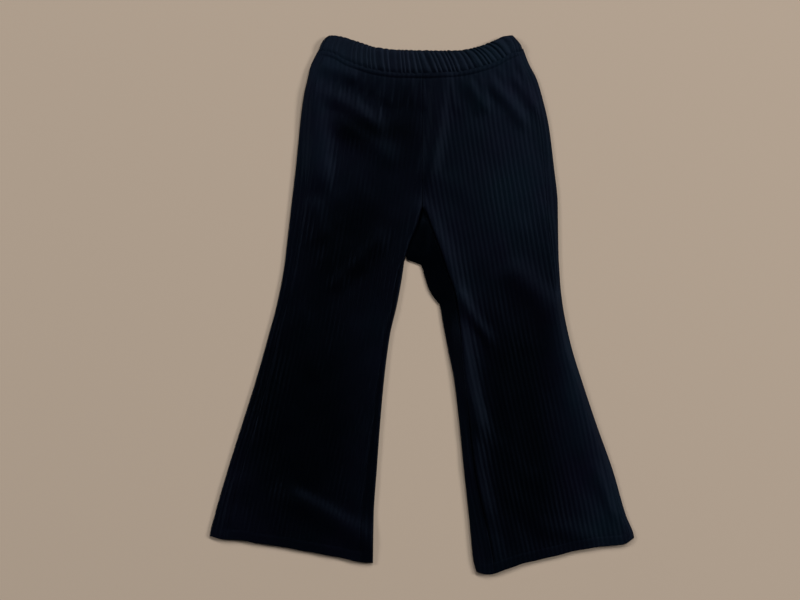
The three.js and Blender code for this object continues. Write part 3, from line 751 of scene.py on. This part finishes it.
def back_points(leg, cloth, kind, t, level):
    """Outer face of a back panel, from the stretch of its section, how far along it, and the level."""
    outer_share = OUTER_STANDING[leg.side]
    outer = turned_edge(leg, cloth, level, leg.seam_out, leg.edge_out, 1, lambda y: outer_share)
    inner = turned_edge(leg, cloth, level, leg.seam_in, leg.edge_in, -1, leg.standing)
    folded = level < leg.crotch_level
    _, cut_y = leg.settle(level, leg.edge_in)
    cut = leg.edge_in(cut_y) + SEAM_GAP / 2

    out = np.zeros_like(level)
    z = np.zeros_like(level)
    on_floor = kind == FLOOR
    low = np.where(folded, inner.centre, cut)
    _, y_guess = leg.settle(level, lambda y: np.clip(t + rib_lean(y), low, outer.centre))
    out[on_floor] = np.clip(t + rib_lean(y_guess), low, outer.centre)[on_floor]
    for flap_kind, fold_kind, turn, towards in (
        (OUTER_FLAP, OUTER_FOLD, outer, 1), (INNER_FLAP, INNER_FOLD, inner, -1),
    ):
        share = t if towards > 0 else 1 - t
        on_flap = kind == flap_kind
        out[on_flap] = (turn.seam + share * (turn.centre - turn.seam))[on_flap]
        on_fold = kind == fold_kind
        angle = math.pi * share
        out[on_fold] = (turn.centre + towards * turn.reach * np.sin(angle))[on_fold]
        z[on_fold] = (turn.radius + turn.radius * np.cos(angle))[on_fold]
    inside = (kind == INNER_FLAP) | (kind == INNER_FOLD)
    closed = inside & ~folded
    out[closed] = cut[closed]
    _, y = leg.settle(level, lambda y: out)
    x = leg.side * out

    for flap_kind, turn, towards in ((OUTER_FLAP, outer, 1), (INNER_FLAP, inner, -1)):
        on_flap = (kind == flap_kind) & ~closed
        share = t if towards > 0 else 1 - t
        distance = np.abs(out - turn.seam)
        standing = leg.standing(y) if towards < 0 else 1.0
        start = cloth.underside(x, y) + (1 - standing) * FLAP_START
        drop = np.clip(share, 0, 1)
        lift = (1 - drop) * start + drop * turn.under + cloth.thick
        deep = SIDE_DIP if towards > 0 else INSEAM_DIP * standing**2
        dip = deep * pressed(towards * leg.side) * bell(distance, SEAM_REACH / 2)
        ribs = cloth.ribs(distance, y) * smooth_step(0, FLAP_RIB_START, distance)
        ribs = ribs * (1 - smooth_step(FLAP_RIB_END, 1, share))
        ribs = ribs * standing**2 * FLAP_RIBS * cloth.rib_share(x, y)
        z[on_flap] = (lift - dip + ribs + cloth.strips(leg, level) * (1 - share))[on_flap]
    z[closed] = 0
    edge = np.minimum(out - low, outer.centre - out)
    flat_ribs = (cloth.rib - cloth.ribs(out - rib_lean(y))) * smooth_step(0, FLOOR_RIB_START, edge)
    creases = cloth.back_creases(x, y) + STITCH_DIP * cloth.groove(leg, level)
    z[on_floor] = (flat_ribs + creases * smooth_step(0, CREASE_START, edge))[on_floor]
    return np.column_stack([x, y, z]), inside


def back_mesh(name, leg, cloth):
    """A back panel: a flap from the side seam, round the outer edge, flat below, and up to the inseam."""
    levels = row_levels(leg, BACK_ROW_STEP)
    stretch, part = back_section(cloth)

    def place(column, row):
        points, inside = back_points(leg, cloth, stretch[column], part[column], levels[row])
        x, y = points[:, 0], points[:, 1]
        rib_map = np.column_stack([(leg.side * x - rib_lean(y)) / cloth.pitch, -y / cloth.pitch])
        # The nap with its painted light and shade; on the back's inner flap it is lowered where the flap
        # sags, painting shade into the low fork below the crotch
        nap_and_light = nap_and_painted_light(x, y)
        return points, rib_map, np.where(inside, nap_and_light * leg.standing(y), nap_and_light)

    return cloth_mesh(name, len(part) - 1, len(levels) - 1, place, leg.side < 0)


def node(tree, kind, values=(), **settings):
    """Adds a shader node, sets its properties and the values of its inputs, by name or number."""
    made = tree.nodes.new(kind)
    for name, value in settings.items():
        setattr(made, name, value)
    for index, value in dict(values).items():
        made.inputs[index].default_value = value
    return made


def calculate(tree, operation, *inputs):
    """A maths node with each input either a number or another node's output."""
    made = node(tree, "ShaderNodeMath", operation=operation)
    for index, value in enumerate(inputs):
        if isinstance(value, bpy.types.NodeSocket):
            tree.links.new(value, made.inputs[index])
        else:
            made.inputs[index].default_value = value
    return made.outputs[0]


def grain(tree, scale, detail, roughness):
    """Noise fixed to the piece, at a scale of patches a metre."""
    place = node(tree, "ShaderNodeTexCoord")
    values = {"Scale": scale, "Detail": detail, "Roughness": roughness}
    noise = node(tree, "ShaderNodeTexNoise", values)
    tree.links.new(place.outputs["Object"], noise.inputs["Vector"])
    return noise.outputs[0]


def follow(tree, mix, surface, share=1.0):
    """A mix's base plus each output of the surface times the mix's weight for it."""
    total = mix.base * share
    for name, output in surface.items():
        weight = getattr(mix, name)
        if weight:
            total = calculate(tree, "MULTIPLY_ADD", output, weight * share, total)
    return total


def knit_surface(tree, shader):
    """Bumps the shader with small loops and fuzz, and gives the outputs that the look follows."""
    ribs = node(tree, "ShaderNodeUVMap", uv_map="ribs")
    parts = node(tree, "ShaderNodeSeparateXYZ")
    tree.links.new(ribs.outputs[0], parts.inputs[0])
    wale = calculate(tree, "MULTIPLY", parts.outputs[0], LOOPS_PER_RIB)
    leg_of_loop = calculate(tree, "PINGPONG", wale, 0.5)
    course = calculate(tree, "MULTIPLY", parts.outputs[1], COURSES_PER_RIB)
    slanted = calculate(tree, "ADD", course, calculate(tree, "MULTIPLY", leg_of_loop, LOOP_SLANT))
    loops = calculate(tree, "SINE", calculate(tree, "MULTIPLY", slanted, 2 * math.pi))
    fuzz = grain(tree, FUZZ_SCALE, 3.0, 0.6)

    height = calculate(tree, "MULTIPLY_ADD", loops, LOOP_ROUNDNESS, leg_of_loop)
    height = calculate(tree, "MULTIPLY_ADD", fuzz, FUZZ_RELIEF, height)
    bump = node(tree, "ShaderNodeBump", {"Strength": BUMP_STRENGTH, "Distance": LOOP_RELIEF * MM})
    tree.links.new(height, bump.inputs["Height"])
    tree.links.new(bump.outputs[0], shader.inputs["Normal"])

    # The pile attribute: the nap with its painted light and shade, which the look follows
    pile = node(tree, "ShaderNodeAttribute", attribute_name="pile").outputs["Fac"]
    return {"loops": loops, "pile": pile, "tone": grain(tree, TONE_SCALE, 4.0, 0.55), "fuzz": fuzz}


def blend_colours(tree, share, first, second):
    """Mixes two colours, the second either a colour or another node's output."""
    blend = node(tree, "ShaderNodeMix", {6: (*first, 1)}, data_type="RGBA")
    if isinstance(second, bpy.types.NodeSocket):
        tree.links.new(second, blend.inputs[7])
    else:
        blend.inputs[7].default_value = (*second, 1)
    tree.links.new(share, blend.inputs[0])
    return blend.outputs[2]


def new_material(name, looks):
    """A material whose shader has these looks, with its node tree and its shader."""
    material = bpy.data.materials.new(name)
    material.use_nodes = True
    shader = material.node_tree.nodes["Principled BSDF"]
    for socket, value in looks.items():
        shader.inputs[socket].default_value = value
    return material, material.node_tree, shader


def knit_material(name, gloss, cloth):
    """Rib knit with painted light and shade: painted darkest where its nap lies flat, painted paler and
    tinted where it stands up.
    """
    material, tree, shader = new_material(name, {
        "Sheen Weight": SHEEN, "Sheen Roughness": SHEEN_ROUGHNESS, "Sheen Tint": SHEEN_TINT,
        "Specular Tint": SHINE_TINT,
    })
    surface = knit_surface(tree, shader)
    # Painted light and shade: the base colour's cast and lightness follow the pile
    cast = blend_colours(tree, follow(tree, CAST, surface), cloth.green_cast, cloth.red_cast)
    lightness = follow(tree, LIGHTNESS, surface)
    lightness.node.use_clamp = True
    colour = blend_colours(tree, lightness, cloth.dark, cast)
    tree.links.new(colour, shader.inputs["Base Color"])
    tree.links.new(follow(tree, ROUGHNESS, surface), shader.inputs["Roughness"])
    tree.links.new(follow(tree, GLOSS, surface, gloss), shader.inputs["Specular IOR Level"])
    return material


def thread_material(name, colour, dark):
    """Twisted thread."""
    material, tree, shader = new_material(name, {
        "Specular IOR Level": THREAD_GLOSS, "Specular Tint": SHEEN_TINT, "Roughness": THREAD_ROUGHNESS,
    })
    twist = grain(tree, TWIST_SCALE, 2.0, 0.5)
    tree.links.new(blend_colours(tree, twist, colour, dark), shader.inputs["Base Color"])
    return material


def made_once(make, name, *values):
    """The material of this name, made the first time it is asked for."""
    return bpy.data.materials.get(name) or make(name, *values)


def lay_panel(layer, name, mesh, scene, width, length, cut_area, rests_on=()):
    """Adds a panel with its knit material and wall, and hides the imported part that it replaces; the
    laid-flat width and length, the cut area and what it rests on are not used.
    """
    cloth = scene.trousers_cloth
    material = made_once(knit_material, "navy_rib_knit", PANEL_GLOSS, cloth)
    nodes = [f"{layer}_{name}"]
    piece = add_piece(f"{layer}_panel_{name}", mesh, material, nodes, cloth.thickness)


class ClothSettings(bpy.types.PropertyGroup):
    """The rib knit and how it lies."""

    thickness: FloatProperty(
        name="Thickness", description="Thickness of one layer of the knit",
        default=1.4 * MM, min=0.8 * MM, max=3 * MM, unit="LENGTH", precision=4,
    )
    rib_pitch: FloatProperty(
        name="Rib spacing", description="Distance from one rib to the next",
        default=5 * MM, min=2 * MM, max=12 * MM, unit="LENGTH", precision=4,
    )
    rib_height: FloatProperty(
        name="Rib height", description="How far a rib stands above the valley beside it",
        default=0.38 * MM, min=0, max=1.5 * MM, unit="LENGTH", precision=4,
    )
    fold_depth: FloatProperty(
        name="Fold depth", description="Height of the folds, as a share of their listed heights",
        default=1.5, min=0, max=2, subtype="FACTOR",
    )
    unevenness: FloatProperty(
        name="Unevenness", description="Height of the broad shallow waves in the smoothed cloth",
        default=0.3 * MM, min=0, max=1 * MM, unit="LENGTH", precision=4,
    )
    # The dark colour shows as painted shade where the nap lies flat; the two casts are the paler colours of
    # painted light where it stands up
    dark: FloatVectorProperty(
        name="Flat nap colour", description="Colour of the knit where its nap lies flat",
        default=(0.0001, 0.0003, 0.0007), subtype="COLOR", min=0, max=1,
    )
    green_cast: FloatVectorProperty(
        name="Green-blue cast", description="Colour of the raised nap where it leans to green",
        default=(0.0004, 0.0044, 0.0076), subtype="COLOR", min=0, max=1,
    )
    red_cast: FloatVectorProperty(
        name="Red-blue cast", description="Colour of the raised nap where it leans to red",
        default=(0.003, 0.0012, 0.008), subtype="COLOR", min=0, max=1,
    )


class WaistSettings(bpy.types.PropertyGroup):
    """The gathered casing at the waist."""

    gathers: IntProperty(
        name="Gathers", description="How many gathers show across the front of the casing",
        default=36, min=12, max=60,
    )
    gather_height: FloatProperty(
        name="Gather height", description="How far a gather stands above the creases beside it",
        default=1.7 * MM, min=0, max=2.5 * MM, unit="LENGTH", precision=4,
    )


class StitchSettings(bpy.types.PropertyGroup):
    """The rows of stitches."""

    pitch: FloatProperty(
        name="Stitch length", description="Distance from one stitch to the next",
        default=2.6 * MM, min=1.5 * MM, max=6 * MM, unit="LENGTH", precision=4,
    )
    thickness: FloatProperty(
        name="Thread thickness", description="Thickness of the sewing thread",
        default=0.32 * MM, min=0.2 * MM, max=1 * MM, unit="LENGTH", precision=4,
    )
    colour: FloatVectorProperty(
        name="Thread colour", description="Colour of the sewing thread",
        default=(0.003, 0.004, 0.007), subtype="COLOR", min=0, max=1,
    )


class StageSettings(bpy.types.PropertyGroup):
    """The floor colour and the camera height."""

    floor: FloatVectorProperty(
        name="Floor colour", description="Colour of the plain floor",
        default=(0.42, 0.335, 0.26), subtype="COLOR", min=0, max=1,
    )
    camera_height: FloatProperty(
        name="Camera height", description="Height of the camera above the floor",
        default=1.7, min=0.5, max=5, unit="LENGTH",
    )


class TROUSERS_OT_front_panels(bpy.types.Operator):
    """Lays out the two ribbed front panels"""

    bl_idname = "trousers.front_panels"
    bl_label = "Front Panels"

    def execute(self, context):
        scene = context.scene
        cloth = Cloth(scene.trousers_cloth)
        for name, leg in LEGS.items():
            mesh = front_mesh(f"front_panel_{name}", leg, cloth)
            lay_panel("front", name, mesh, scene, *FRONT_FLAT, FRONT_AREA, [f"back_panel_{name}"])
        return {"FINISHED"}


class TROUSERS_OT_back_panels(bpy.types.Operator):
    """Lays out the two back panels, which turn up round the edges of each leg"""

    bl_idname = "trousers.back_panels"
    bl_label = "Back Panels"

    def execute(self, context):
        scene = context.scene
        cloth = Cloth(scene.trousers_cloth)
        for name, leg in LEGS.items():
            mesh = back_mesh(f"back_panel_{name}", leg, cloth)
            lay_panel("back", name, mesh, scene, *BACK_FLAT, BACK_AREA)
        return {"FINISHED"}


def stitched_path(bm, path, stitches):
    """Lays thread stitches end to end along a path of points, each half sunk in the cloth."""
    pitch = stitches.pitch / MM
    radius = stitches.thickness / MM / 2
    steps = np.linalg.norm(np.diff(path, axis=0), axis=1)
    along = np.concatenate([[0], np.cumsum(steps)])
    ends = np.linspace(0, along[-1], max(2, round(along[-1] / pitch)))
    corners = np.column_stack([np.interp(ends, along, path[:, axis]) for axis in range(3)])
    for start, end in zip(corners[:-1], corners[1:]):
        middle = Vector((start + end) / 2 * MM)
        heading = Vector((end - start) * MM)
        turn = heading.to_track_quat("Z", "X").to_matrix().to_4x4()
        stretch = Matrix.Diagonal((radius * MM, radius * MM, heading.length * STITCH_SHARE / 2, 1))
        bmesh.ops.create_uvsphere(
            bm, u_segments=6, v_segments=4, radius=1, matrix=Matrix.Translation(middle) @ turn @ stretch,
        )


def stitch_levels(leg):
    """The levels of a leg's stitched rows: two at the waist band and one at the hem."""
    return [PANEL_TOP - TOP_STITCH_INSET, BAND_SEAM, leg.hem_seam]


def front_stitches(bm, leg, cloth, stitches):
    for level in stitch_levels(leg):
        near, _ = leg.settle(level, leg.seam_in)
        far, _ = leg.settle(level, leg.seam_out)
        across = np.linspace(near + STITCH_MARGIN, far - STITCH_MARGIN, STITCH_PATH_POINTS)
        out, y = leg.settle(np.full(STITCH_PATH_POINTS, level), lambda y: across)
        path = front_points(leg, cloth, out, y, np.full_like(out, level))
        path[:, 2] += STITCH_LIFT
        stitched_path(bm, path, stitches)


def back_stitches(bm, leg, cloth, stitches):
    """The same rows on the back, round its turned edges and along its underside."""
    stretch, part = back_section(cloth)
    for level in stitch_levels(leg):
        path, _ = back_points(leg, cloth, stretch, part, np.full(len(part), level))
        path[:, 2] = np.maximum(path[:, 2] + STITCH_LIFT, stitches.thickness / MM / 2)
        stitched_path(bm, path, stitches)


class TROUSERS_OT_stitching(bpy.types.Operator):
    """Sews the rows of stitches at the waist band and the hems"""

    bl_idname = "trousers.stitching"
    bl_label = "Stitching"

    def execute(self, context):
        scene = context.scene
        cloth = Cloth(scene.trousers_cloth)
        stitches = scene.trousers_stitches
        dark = scene.trousers_cloth.dark
        thread = made_once(thread_material, "navy_thread", stitches.colour, dark)
        for layer, sew in (("front", front_stitches), ("back", back_stitches)):
            for name, leg in LEGS.items():
                bm = bmesh.new()
                sew(bm, leg, cloth, stitches)
                for face in bm.faces:
                    face.smooth = True
                mesh = bpy.data.meshes.new(f"{layer}_stitches_{name}")
                bm.to_mesh(mesh)
                bm.free()
                add_piece(f"{layer}_stitches_{name}", mesh, thread)
        return {"FINISHED"}


class TROUSERS_OT_waist_casing(bpy.types.Operator):
    """Makes the gathered casing over the elastic"""

    bl_idname = "trousers.waist_casing"
    bl_label = "Waist Casing"

    def execute(self, context):
        scene = context.scene
        cloth = scene.trousers_cloth
        mesh = casing_mesh("casing", scene.trousers_waist, Cloth(cloth))
        material = made_once(knit_material, "navy_gathered_knit", CASING_GLOSS, cloth)
        piece = add_piece("casing", mesh, material, ["waist_casing"])
        return {"FINISHED"}


def gather_relief(x, up, reach, count):
    """Gathers along the waist, uneven in width and height, some of them forking towards the foot."""
    phase = count * (x + reach) / (2 * reach)
    phase = phase + 0.3 * np.sin(phase * 0.83) + 0.16 * np.sin(phase * 2.1 + 1)
    phase = phase + 0.35 * (up - 0.5) * np.sin(phase * 0.61 + 2)
    number = np.floor(phase)
    size = 0.72 + 0.28 * np.sin(number * 2.7) * np.cos(number * 1.3)
    fork = 0.3 * (0.5 + 0.5 * np.sin(number * 1.9)) * (1 - up)
    main = np.abs(np.sin(math.pi * phase)) ** 0.9
    return size * main * (1 - fork * bell(phase - number - 0.5, FORK_WIDTH))


def casing_mesh(name, waist, cloth):
    """The casing: a flattened ring of doubled cloth, gathered all round."""
    front = waist.gathers * GATHER_SAMPLES
    back = waist.gathers * BACK_GATHER_SAMPLES
    height = waist.gather_height / MM
    across = np.concatenate([
        np.linspace(-1, 1, front, endpoint=False), np.full(CASING_TURN_COLUMNS, 1.0),
        np.linspace(1, -1, back, endpoint=False), np.full(CASING_TURN_COLUMNS, -1.0), [-1.0],
    ])
    half_turn = np.linspace(0, math.pi, CASING_TURN_COLUMNS, endpoint=False)
    angle = np.concatenate([
        np.zeros(front), half_turn, np.full(back, math.pi), math.pi + half_turn, [2 * math.pi],
    ])
    half = CASING_WALL / 2
    middle = CASING_WALL + CASING_AIR / 2
    turn = half + CASING_AIR / 2

    def place(column, row):
        side = across[column]
        bend = angle[column]
        section = 2 * math.pi * row / CASING_ROWS
        out = np.sign(np.cos(section)) * np.abs(np.cos(section)) ** CASING_SQUARENESS
        up = 0.5 + 0.5 * np.sign(np.sin(section)) * np.abs(np.sin(section)) ** CASING_SQUARENESS
        reach = np.where(side < 0, casing_right(up), casing_left(up)) - middle
        straight = side * reach
        inset = 1 - np.abs(side) ** CASING_END
        pinch = GATHER_PINCH + (1 - GATHER_PINCH) * smooth_step(0, 0.2, up)
        gathers = gather_relief(straight, up, reach, waist.gathers) * height * inset * pinch
        outer = smooth_step(-0.6, 0.4, out)
        foot_slope = np.where(out > 0, 0.75 + 0.25 * smooth_step(0, 0.2, up), 1.0)
        head_slope = np.where(out > 0, 1 - 0.3 * smooth_step(0.8, 1, up), 1.0)
        radius = turn + out * half * 0.9 * foot_slope * head_slope
        radius = radius + (gathers - 0.35 * height) * outer * (bend == 0)
        x = straight + gather_slant(straight) * (up - 0.5) * CASING_DEPTH * inset
        x = x + np.sign(side) * np.abs(np.sin(bend)) * radius
        foot = casing_foot(x)
        scallop = GATHER_SCALLOP * (gathers / height - 0.5) * smooth_step(0.8, 1, up) * inset
        y = foot + (casing_head(x) - foot) * up + scallop - JOIN_LAP * (1 - up) ** 4
        z = middle + radius * np.cos(bend)
        below = (np.abs(bend - math.pi) < 1e-6) & (out > 0)
        z = np.where(below, np.maximum(z, 0) + GATHER_BELOW * (1 - gathers / height), z)
        rib_map = np.column_stack([(straight + side * 3) / cloth.pitch * 1.25, -y / cloth.pitch])
        # The last value is the nap with its painted light and shade
        return np.column_stack([x, y, z]), rib_map, nap_and_painted_light(x, y)

    mesh = cloth_mesh(name, len(across) - 1, CASING_ROWS, place, False)
    closed = bmesh.new()
    closed.from_mesh(mesh)
    bmesh.ops.remove_doubles(closed, verts=closed.verts, dist=1e-5)
    bmesh.ops.recalc_face_normals(closed, faces=closed.faces)
    closed.to_mesh(mesh)
    closed.free()
    return mesh


class TROUSERS_OT_stage(bpy.types.Operator):
    """Sets the floor, the light and the camera"""

    bl_idname = "trousers.stage"
    bl_label = "Stage"

    def execute(self, context):
        stage = context.scene.trousers_stage
        make_floor(stage)
        make_light()
        make_camera(stage)
        context.scene.view_settings.view_transform = "Standard"
        return {"FINISHED"}


def make_floor(stage):
    grid = bmesh.new()
    bmesh.ops.create_grid(grid, x_segments=1, y_segments=1, size=FLOOR_HALF_WIDTH)
    mesh = bpy.data.meshes.new("floor")
    grid.to_mesh(mesh)
    grid.free()
    floor = bpy.data.objects.new("floor", mesh)
    floor.location.z = -FLOOR_DROP
    bpy.context.scene.collection.objects.link(floor)
    material, _, _ = new_material("plain_floor", {
        "Base Color": (*stage.floor, 1), "Roughness": 0.9, "Specular IOR Level": 0.1,
    })
    mesh.materials.append(material)


def area_light(lamp):
    """A soft light that faces the middle of the garment."""
    data = bpy.data.lights.new(lamp.name, "AREA")
    data.shape = "DISK"
    data.size = lamp.size
    data.energy = lamp.power
    light = bpy.data.objects.new(lamp.name, data)
    place = Vector((lamp.x, lamp.y, lamp.z))
    light.location = place
    light.rotation_euler = (-place).to_track_quat("-Z", "Y").to_euler()
    bpy.context.scene.collection.objects.link(light)


def make_light():
    for lamp in LAMPS:
        area_light(lamp)
    world = bpy.data.worlds.new("studio")
    world.use_nodes = True
    background = world.node_tree.nodes["Background"]
    background.inputs["Color"].default_value = AMBIENT_COLOUR
    background.inputs["Strength"].default_value = AMBIENT_STRENGTH
    bpy.context.scene.world = world


def make_camera(stage):
    """A long lens straight above, so that the frame's width on the surface is the photo's."""
    data = bpy.data.cameras.new("camera")
    half_width = IMAGE_WIDTH_PX * MM_PER_PX * MM / 2
    data.lens = data.sensor_width / 2 * stage.camera_height / half_width
    camera = bpy.data.objects.new("camera", data)
    camera.location = (VIEW_CENTRE_MM[0] * MM, VIEW_CENTRE_MM[1] * MM, stage.camera_height)
    bpy.context.scene.collection.objects.link(camera)
    bpy.context.scene.camera = camera


class TROUSERS_PT_sidebar(bpy.types.Panel):
    """Shows each group of settings with the buttons that make its pieces"""

    bl_label = "Ribbed Flared Trousers"
    bl_space_type = "VIEW_3D"
    bl_region_type = "UI"
    bl_category = "Trousers"

    def draw(self, context):
        scene = context.scene
        for heading, settings, operators in (
            ("Stitches", scene.trousers_stitches, ("stitching",)),
            ("Cloth", scene.trousers_cloth, ("back_panels", "front_panels")),
            ("Waist", scene.trousers_waist, ("waist_casing",)),
            ("Stage", scene.trousers_stage, ("stage",)),
        ):
            box = self.layout.box()
            box.label(text=heading)
            for name in type(settings).__annotations__:
                box.prop(settings, name)
            for operator in operators:
                box.operator(f"trousers.{operator}")


CLASSES = (
    ClothSettings,
    WaistSettings,
    StitchSettings,
    StageSettings,
    TROUSERS_OT_front_panels,
    TROUSERS_OT_back_panels,
    TROUSERS_OT_waist_casing,
    TROUSERS_OT_stitching,
    TROUSERS_OT_stage,
    TROUSERS_PT_sidebar,
)


def register():
    for cls in CLASSES:
        bpy.utils.register_class(cls)
    bpy.types.Scene.trousers_cloth = PointerProperty(type=ClothSettings)
    bpy.types.Scene.trousers_waist = PointerProperty(type=WaistSettings)
    bpy.types.Scene.trousers_stitches = PointerProperty(type=StitchSettings)
    bpy.types.Scene.trousers_stage = PointerProperty(type=StageSettings)


def unregister():
    del bpy.types.Scene.trousers_stage
    del bpy.types.Scene.trousers_stitches
    del bpy.types.Scene.trousers_waist
    del bpy.types.Scene.trousers_cloth
    for cls in reversed(CLASSES):
        bpy.utils.unregister_class(cls)


def main():
    register()
    bpy.ops.trousers.stage()
    bpy.ops.trousers.stitching()
    bpy.ops.trousers.back_panels()
    bpy.ops.trousers.front_panels()
    bpy.ops.trousers.waist_casing()
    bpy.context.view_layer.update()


if __name__ == "__main__":
    main()
